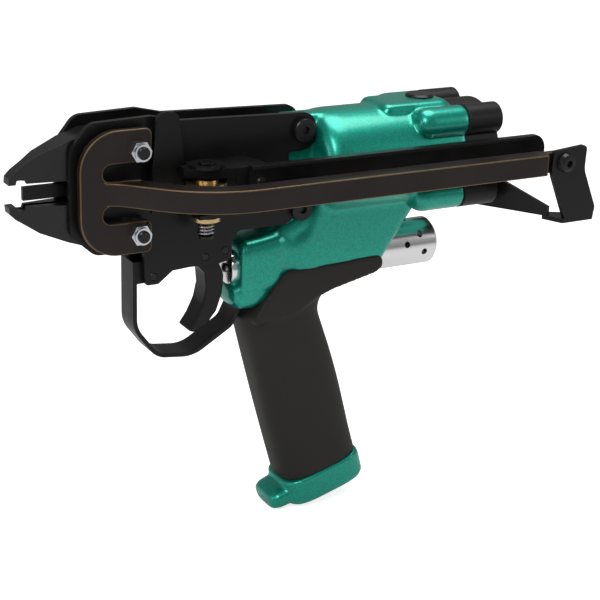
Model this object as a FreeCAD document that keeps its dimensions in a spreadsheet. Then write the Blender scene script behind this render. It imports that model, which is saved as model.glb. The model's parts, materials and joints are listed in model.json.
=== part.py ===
import FreeCAD, Part
import math
import os
import re
import Sketcher

# Pneumatic C-ring gun. Millimetres, +Z up, nose towards -X, ring rail on the -Y side.
# The origin is the mouth of the air inlet in the grip foot. Most pieces are laid out from the bore
# axis, which runs along X at height axis_z, with x = 0 at the jaw bolts.

V = FreeCAD.Vector
doc = FreeCAD.newDocument("ring_gun")
sheet = doc.addObject("Spreadsheet::Sheet", "Dims")

DIMS = {
    # frame
    "axis_x": -112.0, "axis_z": 183.0, "grip_tilt": 15.6,
    # jaws and their bolts
    "bolt_z": 20.0, "bolt_radius": 3.0, "jaw_bore": 3.05, "jaw_half": 7.2, "jaw_tip_x": 57.5,
    "roller_x": 40.0, "roller_drop": 10.7, "roller_radius": 6.0, "roller_pin": 2.0,
    # side plates
    "plate_inner": 7.75, "plate_gauge": 3.0, "lug_x": 91.0, "lug_z": 20.3, "screw_radius": 2.5,
    # rail
    "flange_inner": 14.0, "flange_gauge": 4.0, "bar_half": 5.5, "bar_outer": 53.5, "bar_inner": 43.5,
    "bar_end": 212.0, "tongue_end": 238.5, "tongue_gauge": 4.0,
    # barrel and its inner parts
    "barrel_start": 98.6, "barrel_end": 180.0, "barrel_radius": 27.0, "lobe_offset": 19.0,
    "lobe_radius": 8.2, "liner_outer": 22.0, "liner_bore": 19.5, "piston_clear": 0.05,
    "piston_start": 158.0, "piston_length": 15.0, "rod_radius": 6.0, "rod_clear": 0.03,
    "cap_length": 20.0, "gasket_gauge": 0.8, "stroke": 30.0,
    # wedge
    "wedge_half": 3.0, "spigot_radius": 2.5, "wedge_nose": 34.0, "wedge_rear": 76.0,
    "wedge_nose_z": 2.36, "wedge_rear_z": 6.86,
    # feed
    "stud_x": 32.5, "stud_y": 23.5, "spool_radius": 9.7, "spool_half": 5.8, "stud_radius": 2.0,
    "guard_start": 50.0, "guard_end": 224.0, "guard_outer": 34.0, "guard_gauge": 2.0,
    "guard_top": 11.5, "guard_bottom": 9.0,
    # valve and trigger
    "valve_z": 50.0, "valve_radius": 11.0, "sleeve_radius": 12.5, "stem_radius": 2.5,
    "trigger_pin_x": 38.7, "trigger_pin_z": 39.2, "pin_radius": 2.0,
    # grip and inlet
    "block_front": 55.5, "block_rear": 143.0, "block_half": 14.0, "block_low": 64.0,
    "grip_front": 20.5, "grip_rear_top": 21.3, "grip_rear_low": 25.6, "grip_half_width": 16.0,
    "grip_low": 16.3, "grip_high": 121.0, "grip_edge": 11.0,
    "core_depth": 16.0, "core_half_width": 11.5, "inlet_bore": 5.7, "inlet_depth": 12.0,
    "foot_height": 16.0,
}
for row, (alias, number) in enumerate(DIMS.items(), 1):
    sheet.set(f"A{row}", alias)
    sheet.set(f"B{row}", str(number))
    sheet.setAlias(f"B{row}", alias)
doc.recompute()

TERM = re.compile(r"([+-]?)\s*([\w.]+)(?:\s*([*/])\s*([\w.]+))?")
ROTATION = {
    "X": FreeCAD.Rotation(),
    "Y": FreeCAD.Rotation(V(0, 0, 1), 90),
    "-Y": FreeCAD.Rotation(V(0, 0, 1), -90),
    "Z": FreeCAD.Rotation(V(0, 1, 0), -90),
    "-Z": FreeCAD.Rotation(V(0, 1, 0), 90),
}
REVERSE_X = FreeCAD.Rotation(V(0, 0, 1), 180)
LOBE_CENTRES = [(y, z) for y in ("lobe_offset", "-lobe_offset") for z in ("lobe_offset", "-lobe_offset")]
GUARD_FASTENERS = ((56, 3.0), (125, 0), (165, 0))
pieces = []


def atom(word):
    return DIMS[word] if word in DIMS else float(word)


def number(size):
    """The value of a number, an alias or a sum such as 'bolt_z - 2 * pin_radius'."""
    if not isinstance(size, str):
        return float(size)
    total = 0.0
    for sign, first, operator, second in TERM.findall(size):
        term = atom(first)
        if operator == "*":
            term *= atom(second)
        if operator == "/":
            term /= atom(second)
        total += -term if sign == "-" else term
    return total


def bind(item, path, size):
    """Bind a property to the sheet; a plain number stays a plain number."""
    item.setExpression(path, re.sub(r"[a-z][a-z_]+", lambda word: "Dims." + word.group(), str(size)))


def plus(base, size):
    text = str(size)
    return f"{base} {text}" if text.startswith("-") else f"{base} + {text}"


def place(item, at, axis="X", grip=False):
    """Place an object by bore coordinates, or by coordinates along the tilted grip."""
    turn = ROTATION[axis] if isinstance(axis, str) else axis
    if grip:
        tilt = FreeCAD.Rotation(V(0, 1, 0), -DIMS["grip_tilt"])
        spot = tilt.multVec(V(*[number(size) for size in at]))
        item.Placement = FreeCAD.Placement(spot, tilt.multiply(turn))
        return item
    item.Placement = FreeCAD.Placement(V(), turn)
    bind(item, "Placement.Base.x", plus("axis_x", at[0]))
    bind(item, "Placement.Base.y", at[1])
    bind(item, "Placement.Base.z", plus("axis_z", at[2]))
    return item


def piece(item, label):
    item.Label = label
    pieces.append(item)
    return item


def box(name, x, y, z, grip=False, rounding=0.0):
    """A box between two limits on each axis, with all its edges rounded if asked."""
    item = doc.addObject("Part::Box", name)
    for path, (low, high) in zip(("Length", "Width", "Height"), (x, y, z)):
        bind(item, path, f"({high}) - ({low})")
    place(item, (x[0], y[0], z[0]), grip=grip)
    if rounding:
        doc.recompute()
        blended = doc.addObject("Part::Fillet", name + "_rounded")
        blended.Base = item
        blended.Edges = [(index, rounding, rounding) for index in range(1, 13)]
        return blended
    return item


def rod(name, radius, start, length, axis="X", grip=False):
    """A cylinder that starts at a point and runs along an axis."""
    item = doc.addObject("Part::Cylinder", name)
    bind(item, "Radius", radius)
    bind(item, "Height", length)
    along = {"X": (V(0, 1, 0), 90), "Y": (V(1, 0, 0), -90), "Z": (V(0, 0, 1), 0)}[axis]
    seam_turn = FreeCAD.Rotation(V(0, 0, 1), 37)
    return place(item, start, FreeCAD.Rotation(*along).multiply(seam_turn), grip)


def fuse(name, shapes):
    item = doc.addObject("Part::MultiFuse", name)
    item.Shapes = shapes
    item.Refine = True
    return item


def cut(name, base, tools):
    tool = tools[0] if len(tools) == 1 else fuse(name + "_tools", tools)
    item = doc.addObject("Part::Cut", name)
    item.Base = base
    item.Tool = tool
    return item


def group(label, members):
    """Several separate solids kept together as one piece."""
    item = doc.addObject("Part::Compound", label + "_group")
    item.Links = members
    return piece(item, label)


def plane(body, role):
    return [feature for feature in body.Origin.OriginFeatures if feature.Role == role][0]


def lock(sketch, vertex, point):
    """Hold one sketch point at sheet-driven coordinates."""
    for kind, size, line in (("DistanceX", point[0], -2), ("DistanceY", point[1], -1)):
        value = number(size)
        if abs(value) < 1e-9:
            sketch.addConstraint(Sketcher.Constraint("PointOnObject", *vertex, line))
            continue
        ends = (-1, 1, *vertex) if value > 0 else (*vertex, -1, 1)
        index = sketch.addConstraint(Sketcher.Constraint(kind, *ends, abs(value)))
        if isinstance(size, str):
            bind(sketch, f"Constraints[{index}]", size if value > 0 else f"-({size})")


def outline(body, role, points, name):
    """A closed polygon sketch on one of the body's origin planes."""
    sketch = body.newObject("Sketcher::SketchObject", name)
    sketch.AttachmentSupport = [(plane(body, role), "")]
    sketch.MapMode = "FlatFace"
    corners = [V(number(point[0]), number(point[1]), 0) for point in points]
    for index, corner in enumerate(corners):
        sketch.addGeometry(Part.LineSegment(corner, corners[(index + 1) % len(corners)]), False)
    for index in range(len(corners)):
        following = (index + 1) % len(corners)
        sketch.addConstraint(Sketcher.Constraint("Coincident", index, 2, following, 1))
    for index, point in enumerate(points):
        lock(sketch, (index, 1), point)
    return sketch


def pad(body, role, points, length, name="outline", both=True):
    feature = body.newObject("PartDesign::Pad", "Pad_" + name)
    feature.Profile = outline(body, role, points, "Sketch_" + name)
    bind(feature, "Length", length)
    if both:
        feature.SideType = "Symmetric"
    doc.recompute()
    return feature


def pocket(body, role, points, length, name):
    """Cut a polygon through, the same depth on both sides of the plane."""
    before = body.Shape.Volume
    feature = body.newObject("PartDesign::Pocket", "Pocket_" + name)
    feature.Profile = outline(body, role, points, "Sketch_" + name)
    bind(feature, "Length", length)
    feature.SideType = "Symmetric"
    doc.recompute()
    if body.Shape.Volume > before - 0.1:
        raise RuntimeError(f"{body.Name}: {name} cuts nothing")
    return feature


def holes(body, role, circles, depth, name="holes"):
    """Round holes through, the same depth on both sides of the plane."""
    before = body.Shape.Volume
    sketch = body.newObject("Sketcher::SketchObject", "Sketch_" + name)
    sketch.AttachmentSupport = [(plane(body, role), "")]
    sketch.MapMode = "FlatFace"
    for index, (x, y, radius) in enumerate(circles):
        sketch.addGeometry(Part.Circle(V(number(x), number(y), 0), V(0, 0, 1), number(radius)), False)
        lock(sketch, (index, 3), (x, y))
        mark = sketch.addConstraint(Sketcher.Constraint("Radius", index, number(radius)))
        if isinstance(radius, str):
            bind(sketch, f"Constraints[{mark}]", radius)
    feature = body.newObject("PartDesign::Pocket", "Pocket_" + name)
    feature.Profile = sketch
    bind(feature, "Length", depth)
    feature.SideType = "Symmetric"
    doc.recompute()
    if body.Shape.Volume > before - 0.1:
        raise RuntimeError(f"{body.Name}: {name} cut nothing")
    return feature


def round_corners(body, role, corners):
    """Fillet the edges that cross the sketch plane at the given corners: (x, y, radius)."""
    first, second = {"XY_Plane": (0, 1), "XZ_Plane": (0, 2), "YZ_Plane": (1, 2)}[role]
    for radius in sorted({corner[2] for corner in corners}, reverse=True):
        feature = body.Tip
        spots = [(number(x), number(y)) for x, y, size in corners if size == radius]
        names = []
        for index, edge in enumerate(feature.Shape.Edges, 1):
            ends = [vertex.Point for vertex in edge.Vertexes]
            flat = [(end[first], end[second]) for end in ends]
            if len(flat) == 2 and math.dist(*flat) < 1e-3 and math.dist(ends[0], ends[1]) > 0.1:
                if any(math.dist(flat[0], spot) < 1e-3 for spot in spots):
                    names.append(f"Edge{index}")
        blend = body.newObject("PartDesign::Fillet", f"Round_{len(body.Group)}")
        blend.Base = (feature, names)
        bind(blend, "Radius", radius)
        doc.recompute()


def new_body(label):
    return doc.addObject("PartDesign::Body", label + "_body")


def turned(label, profile, at, axis="X", grip=False, keep=True):
    """A piece turned on a lathe: (distance along the axis, radius) points, closed by its ends."""
    body = new_body(label)
    sketch = outline(body, "XY_Plane", profile, "Sketch_" + label)
    feature = body.newObject("PartDesign::Revolution", "Turn_" + label)
    feature.Profile = sketch
    feature.ReferenceAxis = (sketch, ["H_Axis"])
    feature.Angle = 360
    place(body, at, axis, grip)
    return piece(body, label) if keep else body


def solid_bar(length, radius, edge=0.4):
    """Profile of a plain pin with broken edges."""
    return [(0, 0), (0, f"{radius} - {edge}"), (edge, radius), (f"{length} - {edge}", radius),
            (length, f"{radius} - {edge}"), (length, 0)]


def tube(length, outer, inner):
    return [(0, inner), (0, outer), (length, outer), (length, inner)]


def cap_screw(label, at, axis, shank, length, head, height, socket):
    """A socket screw: its head lies behind the start point and its shank runs along the axis."""
    body = turned(label, [(f"-{height}", socket), (f"-{height}", f"{head} - 0.5"),
                          (f"0.5 - {height}", head), (0, head), (0, shank), (f"{length} - 0.5", shank),
                          (length, f"{shank} - 0.5"), (length, 0), (f"0 - {height} / 2", 0),
                          (f"0 - {height} / 2", socket)], at, axis, keep=False)
    return body


def coil(label, radius, wire, turns, length, at, axis, keep=True):
    """A round-wire compression spring with a pipe swept along a helix."""
    item = doc.addObject("Part::Feature", label + "_coil")
    path = Part.makeHelix(length / turns, length, radius)
    ring = Part.Wire(Part.Circle(V(radius, 0, 0), V(0, 1, 0), wire).toShape())
    item.Shape = Part.Wire(path.Edges).makePipeShell([ring], True, True)
    turn = {"X": FreeCAD.Rotation(V(0, 1, 0), 90), "Y": FreeCAD.Rotation(V(1, 0, 0), -90),
            "Z": FreeCAD.Rotation()}[axis]
    place(item, at, turn)
    return piece(item, label) if keep else item


# --- casting --------------------------------------------------------------------------------------
def lobes(name, start, length, side_names=("nw", "ne", "sw", "se")):
    """Four screw bosses round the barrel."""
    signs = ((-1, 1), (1, 1), (-1, -1), (1, -1))
    made = []
    for word, (side, level) in zip(side_names, signs):
        y = "lobe_offset" if side > 0 else "-lobe_offset"
        z = "lobe_offset" if level > 0 else "-lobe_offset"
        made.append(rod(f"{name}_{word}", "lobe_radius", (start, y, z), length))
    return made


def make_casting():
    """Barrel, neck between the side plates, valve block and the core inside the grip."""
    barrel = rod("barrel", "barrel_radius", ("barrel_start", 0, 0), "barrel_end - barrel_start")
    doc.recompute()
    shoulder = doc.addObject("Part::Fillet", "barrel_shoulder")
    shoulder.Base = barrel
    front = [index for index, edge in enumerate(barrel.Shape.Edges, 1)
             if edge.Closed and edge.BoundBox.XMax < number("axis_x + barrel_start") + 0.1]
    shoulder.Edges = [(index, 6.0, 6.0) for index in front]
    neck = box("neck", (84, 104), ("-plate_inner", "plate_inner"), (-33, 26.2))
    pad_top = box("pad_top", (136, 178), (-13, 13), (20, 28.2), rounding=3.0)
    belly = box("belly", (101, 144), (-16, 16), (-50, -12), rounding=6.0)
    saddle = box("saddle", (70, 106), (-13.4, 13.4), (-46, -29.5), rounding=3.5)
    block = box("block", ("block_front", "block_rear"), ("-block_half", "block_half"),
                ("-block_low", -33.5), rounding=5.0)
    nib = box("block_nib", (60.6, 74), (-11, 11), (-69, -58), rounding=3.0)
    core = box("grip_core", ("-core_depth", "core_depth"), ("-core_half_width", "core_half_width"),
               ("foot_height", 126), grip=True)
    whole = fuse("casting_solid", [shoulder, neck, pad_top, belly, saddle, block, nib, core]
                 + lobes("boss", 146, "barrel_end - 146"))
    bore = rod("cylinder_bore", "liner_outer", (103, 0, 0), "barrel_end - 103")
    rod_bore = rod("neck_bore", 8.5, (80, 0, 0), 30)
    valve_bore = rod("valve_bore", "valve_radius", (58.5, 0, "-valve_z"), 45.5)
    exhaust_way = rod("exhaust_way", 5.0, (103.5, 0, "-valve_z"), 36)
    valve_mouth = rod("valve_mouth", 7.2, (50, 0, "-valve_z"), 9)
    air_way = rod("air_way", "inlet_bore", (0, 0, "foot_height - 1"), 120, axis="Z", grip=True)
    port = rod("top_port", 6.5, (166, 0, 20), 10, axis="Z")
    lug_holes = [rod(f"lug_hole_{index}", "screw_radius + 0.03", ("lug_x", -9, side), 18, axis="Y")
                 for index, side in enumerate(("lug_z", "-lug_z"))]
    boss_holes = [rod(f"cap_hole_{index}", 2.53, (160, y, z), 21)
                  for index, (y, z) in enumerate(LOBE_CENTRES)]
    exhaust_seat = rod("exhaust_seat", "sleeve_radius + 0.05", (135, 0, "-valve_z"), 12)
    ways = [bore, rod_bore, valve_bore, exhaust_way, valve_mouth, air_way, port, exhaust_seat]
    return piece(cut("casting_cut", whole, ways + lug_holes + boss_holes), "body_casting")


def make_rear_cap():
    """Lobed cap that closes the cylinder."""
    start = "barrel_end + gasket_gauge"
    disc = rod("cap_disc", "barrel_radius - 1.2", (start, 0, 0), "cap_length")
    whole = fuse("cap_solid", [disc] + lobes("cap_lobe", start, "cap_length"))
    hollow = rod("cap_hollow", 15, (start, 0, 0), "cap_length - 6")
    seats = []
    for index, (y, z) in enumerate(LOBE_CENTRES):
        seats.append(rod(f"cap_clear_{index}", 2.75, (start, y, z), "cap_length"))
        seats.append(rod(f"cap_seat_{index}", 5.0, ("barrel_end + gasket_gauge + cap_length - 5", y, z), 5))
    arm_holes = [rod(f"arm_hole_{index}", 1.9, ("barrel_end + cap_length - 8", 0, z), 9)
                 for index, z in enumerate((-12, -22))]
    piece(cut("cap_cut", whole, [hollow] + seats + arm_holes), "rear_cap")
    sheet_disc = rod("gasket_disc", "barrel_radius - 1.2", ("barrel_end", 0, 0), "gasket_gauge")
    ring = fuse("gasket_solid", [sheet_disc] + lobes("gasket_lobe", "barrel_end", "gasket_gauge"))
    openings = [rod("gasket_bore", "liner_bore - 2", ("barrel_end", 0, 0), "gasket_gauge")]
    openings += [rod(f"gasket_hole_{index}", 2.75, ("barrel_end", y, z), "gasket_gauge")
                 for index, (y, z) in enumerate(LOBE_CENTRES)]
    piece(cut("gasket_cut", ring, openings), "cap_gasket")
    seat = "barrel_end + gasket_gauge + cap_length - 5"
    group("cap_screws", [cap_screw(f"cap_screw_{index}", (seat, y, z), REVERSE_X, 2.5, 30, 4.8, 4.5, 2.0)
                         for index, (y, z) in enumerate(LOBE_CENTRES)])


# --- cylinder -------------------------------------------------------------------------------------
def make_cylinder_parts():
    turned("cylinder_liner", tube("barrel_end - 103.2", "liner_outer", "liner_bore"), (103.2, 0, 0))
    turned("rod_bush", [(0, "rod_radius + rod_clear"), (0, 8.5), (16, 8.5), (16, 11), (19.2, 11),
                        (19.2, "rod_radius + rod_clear")], (87.2, 0, 0))
    turned("front_bumper", [(0, 7), (0, 17), (2, 18.8), (7, 18.8), (9, 16), (9, 7)], (107, 0, 0))
    turned("piston", [(0, "spigot_radius"), (0, 17.0), (1, "liner_bore - piston_clear"),
                      (5, "liner_bore - piston_clear"), (5, 17.2), (8.6, 17.2),
                      (8.6, "liner_bore - piston_clear"), (14, "liner_bore - piston_clear"),
                      ("piston_length", "liner_bore - 1.5"), ("piston_length", "spigot_radius")],
           ("piston_start", 0, 0))
    turned("piston_ring", [(0, 17.25), (0, 18.9), (0.8, "liner_bore - 0.02"), (2.6, "liner_bore - 0.02"),
                           (3.4, 18.9), (3.4, 17.25)], ("piston_start + 5.1", 0, 0))
    reach = "piston_start - wedge_rear"
    turned("piston_rod", [(0, 0), (0, "spigot_radius"), (10, "spigot_radius"), (10, "rod_radius"),
                          (reach, "rod_radius"), (reach, "spigot_radius"),
                          (f"{reach} + piston_length + 1", "spigot_radius"),
                          (f"{reach} + piston_length + 2", "spigot_radius - 0.5"),
                          (f"{reach} + piston_length + 2", 0)], ("wedge_rear", 0, 0))
    coil("return_spring", 14.5, 1.1, 4, 38.2, (117.3, 0, 0), "X")


def make_wedge():
    """A hardened wedge: a taper that spreads the jaw arms, with a bore for the rod's end."""
    body = new_body("wedge_cam")
    profile = [("wedge_nose", "-wedge_nose_z + 1"), ("wedge_nose + 1", "-wedge_nose_z"),
               ("wedge_rear", "-wedge_rear_z"), ("wedge_rear + 10", "-wedge_rear_z"),
               ("wedge_rear + 10", "wedge_rear_z"), ("wedge_rear", "wedge_rear_z"),
               ("wedge_nose + 1", "wedge_nose_z"), ("wedge_nose", "wedge_nose_z - 1")]
    pad(body, "XZ_Plane", profile, "2 * wedge_half", "taper")
    place(body, (0, 0, 0))
    socket = rod("wedge_socket", "spigot_radius", ("wedge_rear", 0, 0), 12)
    piece(cut("wedge_cut", body, [socket]), "wedge_cam")


# --- jaws -----------------------------------------------------------------------------------------
def make_jaw(label, level):
    """One jaw: nose with a ring groove, eye on its bolt and a forked arm with a roller."""
    def flip(points):
        return [(point[0], point[1] * level, *point[2:]) for point in points]
    profile = flip([(-57.5, 5.2), (-57.2, 8.5), (-54.5, 11.2), (-43.6, 18.6), (-31, 23.8), (-20, 27.6),
                    (9, 27.6), (16, 23.5), (34, 16.8), (47.2, 15.0), (47.2, 4.2), (34, 4.2), (14, 8.0),
                    (-10, 6.4), (-28, 5.8), (-49.0, 5.4), (-49.6, 7.2), (-53.4, 7.2), (-54.0, 5.2)])
    body = new_body(label)
    pad(body, "XZ_Plane", profile, "2 * jaw_half", "jaw")
    round_corners(body, "XZ_Plane", flip([(47.2, 15.0, 4.0), (47.2, 4.2, 4.0), (9, 27.6, 5.0),
                                          (-54.5, 11.2, 2.0)]))
    holes(body, "XZ_Plane", [(0, "bolt_z" if level > 0 else "-bolt_z", "jaw_bore"),
                             ("roller_x", "bolt_z - roller_drop" if level > 0 else
                              "roller_drop - bolt_z", "roller_pin")], 40)
    slot = flip([(30.5, 1.0), (60, 1.0), (60, 30.0), (30.5, 30.0)])
    pocket(body, "XZ_Plane", slot, 8.2, "roller_slot")
    pocket(body, "XZ_Plane", flip([(-52, 0), (-52, 7.5), (-30, 9.5), (-8, 9.5), (-8, 0)]), 3.2,
           "ring_groove")
    nose = [(-60, 3.6), (-50, 3.6), (-30, 7.3), (-30, 9), (-60, 9)]
    for side in (1, -1):
        cheek = [(x, y * side) for x, y in nose]
        pocket(body, "XY_Plane", cheek, 80, f"nose_taper_{'left' if side < 0 else 'right'}")
    place(body, (0, 0, 0))
    return piece(body, label)


def make_jaws():
    for word, level in (("upper", 1), ("lower", -1)):
        make_jaw(word + "_jaw", level)
        height = "bolt_z - roller_drop" if level > 0 else "roller_drop - bolt_z"
        turned(word + "_roller", [(0, "roller_pin + 0.03"), (0, 5.5), (0.5, "roller_radius"),
                                  (6.9, "roller_radius"), (7.4, 5.5), (7.4, "roller_pin + 0.03")],
               ("roller_x", -3.7, height), "Y")
        turned(word + "_roller_pin", solid_bar(14.2, "roller_pin"), ("roller_x", -7.1, height), "Y")
    group("jaw_springs", [coil(f"jaw_spring_{index}", 1.4, 0.35, 9, 11.0, (24.0, side, -5.5), "Z",
                               keep=False) for index, side in enumerate((-5.2, 5.2))])
    body = new_body("ring_stop")
    pad(body, "XZ_Plane", [(-50, -3.2), (-50, 3.2), (-8, 3.2), (-6, 0), (-8, -3.2)], 2.6, "blade")
    holes(body, "XZ_Plane", [(-13, 0, 2.0)], 10)
    place(body, (0, 0, 0))
    piece(body, "ring_stop")
    turned("stop_pin", solid_bar(21.4, 2.0), (-13, -10.7, 0), "Y")


# --- side plates and their fasteners ---------------------------------------------------------------
PLATE = [(-31, -20), (-31, 20), (-21, 32.6), (10, 33.6), (24, 30.4), (62, 29.3), (98.5, 28.3),
         (98.5, 10), (83.6, 9), (83.6, -9), (98.5, -10), (98.5, -27.8), (56, -27.8), (53, -34),
         (53, -42), (46, -43.5), (30, -43.2), (21, -43.8), (13.5, -49.6), (6.5, -49.6), (6, -31.6),
         (-19, -31)]
PLATE_ROUNDS = [(-31, -20, 8.0), (-31, 20, 8.0), (-21, 32.6, 8.0), (98.5, 28.3, 7.5), (98.5, 10, 7.0),
                (98.5, -10, 7.0), (98.5, -27.8, 7.5), (56, -27.8, 4.0), (-19, -31, 8.0), (53, -42, 2.5),
                (13.5, -49.6, 2.0), (6.5, -49.6, 2.0), (24, 30.4, 8.0), (6, -31.6, 2.0)]


def make_side_plate(label, side):
    body = new_body(label)
    pad(body, "XZ_Plane", PLATE, "plate_gauge", "plate")
    round_corners(body, "XZ_Plane", PLATE_ROUNDS)
    holes(body, "XZ_Plane", [(0, "bolt_z", "bolt_radius"), (0, "-bolt_z", "bolt_radius"),
                             ("lug_x", "lug_z", "screw_radius"), ("lug_x", "-lug_z", "screw_radius"),
                             (-13, 0, 2.0), ("trigger_pin_x", "-trigger_pin_z", "pin_radius"),
                             (11, -45.5, "pin_radius"), (49.5, -37.0, "pin_radius")], 20)
    middle = "plate_inner + plate_gauge / 2" if side > 0 else "-plate_inner - plate_gauge / 2"
    place(body, (0, middle, 0))
    return piece(body, label)


def make_frame_fasteners():
    for word, side in (("left", -1), ("right", 1)):
        face = "plate_inner + plate_gauge" if side > 0 else "-plate_inner - plate_gauge"
        axis = "-Y" if side > 0 else "Y"
        group(f"frame_screws_{word}",
              [cap_screw(f"frame_screw_{word}_{index}", ("lug_x", face, z), axis, "screw_radius",
                         10.0, 5.8, 3.2, 2.0) for index, z in enumerate(("lug_z", "-lug_z"))])
    # jaw bolts: hexagon-socket heads on the far side, threads through the lock nuts on the near side
    group("jaw_bolts", [cap_screw(f"jaw_bolt_{index}", (0, "plate_inner + plate_gauge", z), "-Y",
                                  "bolt_radius", 36.4, 5.0, 5.0, 2.2)
                        for index, z in enumerate(("bolt_z", "-bolt_z"))])
    group("lock_nuts", [lock_nut(f"lock_nut_{index}", z) for index, z in enumerate(("bolt_z", "-bolt_z"))])
    group("flange_spacers", [turned(f"flange_spacer_{index}", tube(3.25, 6.0, "bolt_radius"),
                                    (0, -14, z), "Y", keep=False)
                             for index, z in enumerate(("bolt_z", "-bolt_z"))])
    turned("trigger_pin", solid_bar(21.9, "pin_radius"), ("trigger_pin_x", -10.95, "-trigger_pin_z"), "Y")
    group("frame_pins", [turned(f"frame_pin_{index}", solid_bar(21.9, "pin_radius"), (x, -10.95, z), "Y",
                                keep=False) for index, (x, z) in enumerate(((11, -45.5), (49.5, -37.0)))])


def lock_nut(name, height):
    """A six-sided nut with a round collar for its nylon ring."""
    body = new_body(name)
    hexagon = [(5.2 * math.cos(math.radians(60 * k)), 5.2 * math.sin(math.radians(60 * k)))
               for k in range(6)]
    pad(body, "XZ_Plane", hexagon, 4.4, "hexagon", both=False)
    collar = rod(name + "_collar", 4.1, (0, -24.4, height), 2.2, axis="Y")
    place(body, (0, "-flange_inner - flange_gauge", height))
    solid = fuse(name + "_solid", [body, collar])
    return cut(name + "_cut", solid, [rod(name + "_thread", "bolt_radius", (0, -26, height), 10, axis="Y")])


# --- ring rail ------------------------------------------------------------------------------------
def make_rail():
    """E-shaped flange and the bar that grows out of its middle leg, curving out to a straight run."""
    body = new_body("ring_rail")
    leg = [(-28.6, 30), (7, 30), (7, 14.2), (-17.3, 14.2), (-17.3, "bar_half + 0.2"),
           (1.2, "bar_half + 0.2"), (1.2, "-bar_half - 0.2"), (-17.3, "-bar_half - 0.2"),
           (-17.3, -14.2), (7, -14.2), (7, -30), (-28.6, -30)]
    pad(body, "XZ_Plane", leg, "flange_gauge", "flange", both=False)
    round_corners(body, "XZ_Plane", [(-28.6, 30, 19.0), (-28.6, -30, 19.0), (7, 30, 3.0), (7, -30, 3.0),
                                     (7, 14.2, 3.0), (7, -14.2, 3.0), (-17.3, 14.2, 4.0),
                                     (-17.3, -14.2, 4.0), (-17.3, "bar_half + 0.2", 4.0),
                                     (-17.3, "-bar_half - 0.2", 4.0)])
    holes(body, "XZ_Plane", [(0, "bolt_z", "jaw_bore"), (0, "-bolt_z", "jaw_bore")], 20)
    place(body, (0, "-flange_inner", 0))
    bar = new_body("rail_bar")
    plan = [(-17.2, -16), (-17.2, -18), (-12, -18), (21.5, "-bar_outer"), ("bar_end", "-bar_outer"),
            ("bar_end + 2", -49),
            ("tongue_end", -49), ("tongue_end", "-49 + tongue_gauge"), ("bar_end + 3", "-49 + tongue_gauge"),
            ("bar_end", "-bar_inner"), (25.4, "-bar_inner"), (0.8, -16)]
    pad(bar, "XY_Plane", plan, "2 * bar_half", "plan")
    round_corners(bar, "XY_Plane", [(21.5, "-bar_outer", 60.0), (25.4, "-bar_inner", 50.0),
                                    (-12, -18, 12.0)])
    holes(bar, "XZ_Plane", [(224.5, 0, 2.55)], 120)
    place(bar, (0, 0, 0))
    piece(fuse("rail_solid", [body, bar]), "ring_rail")


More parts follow.
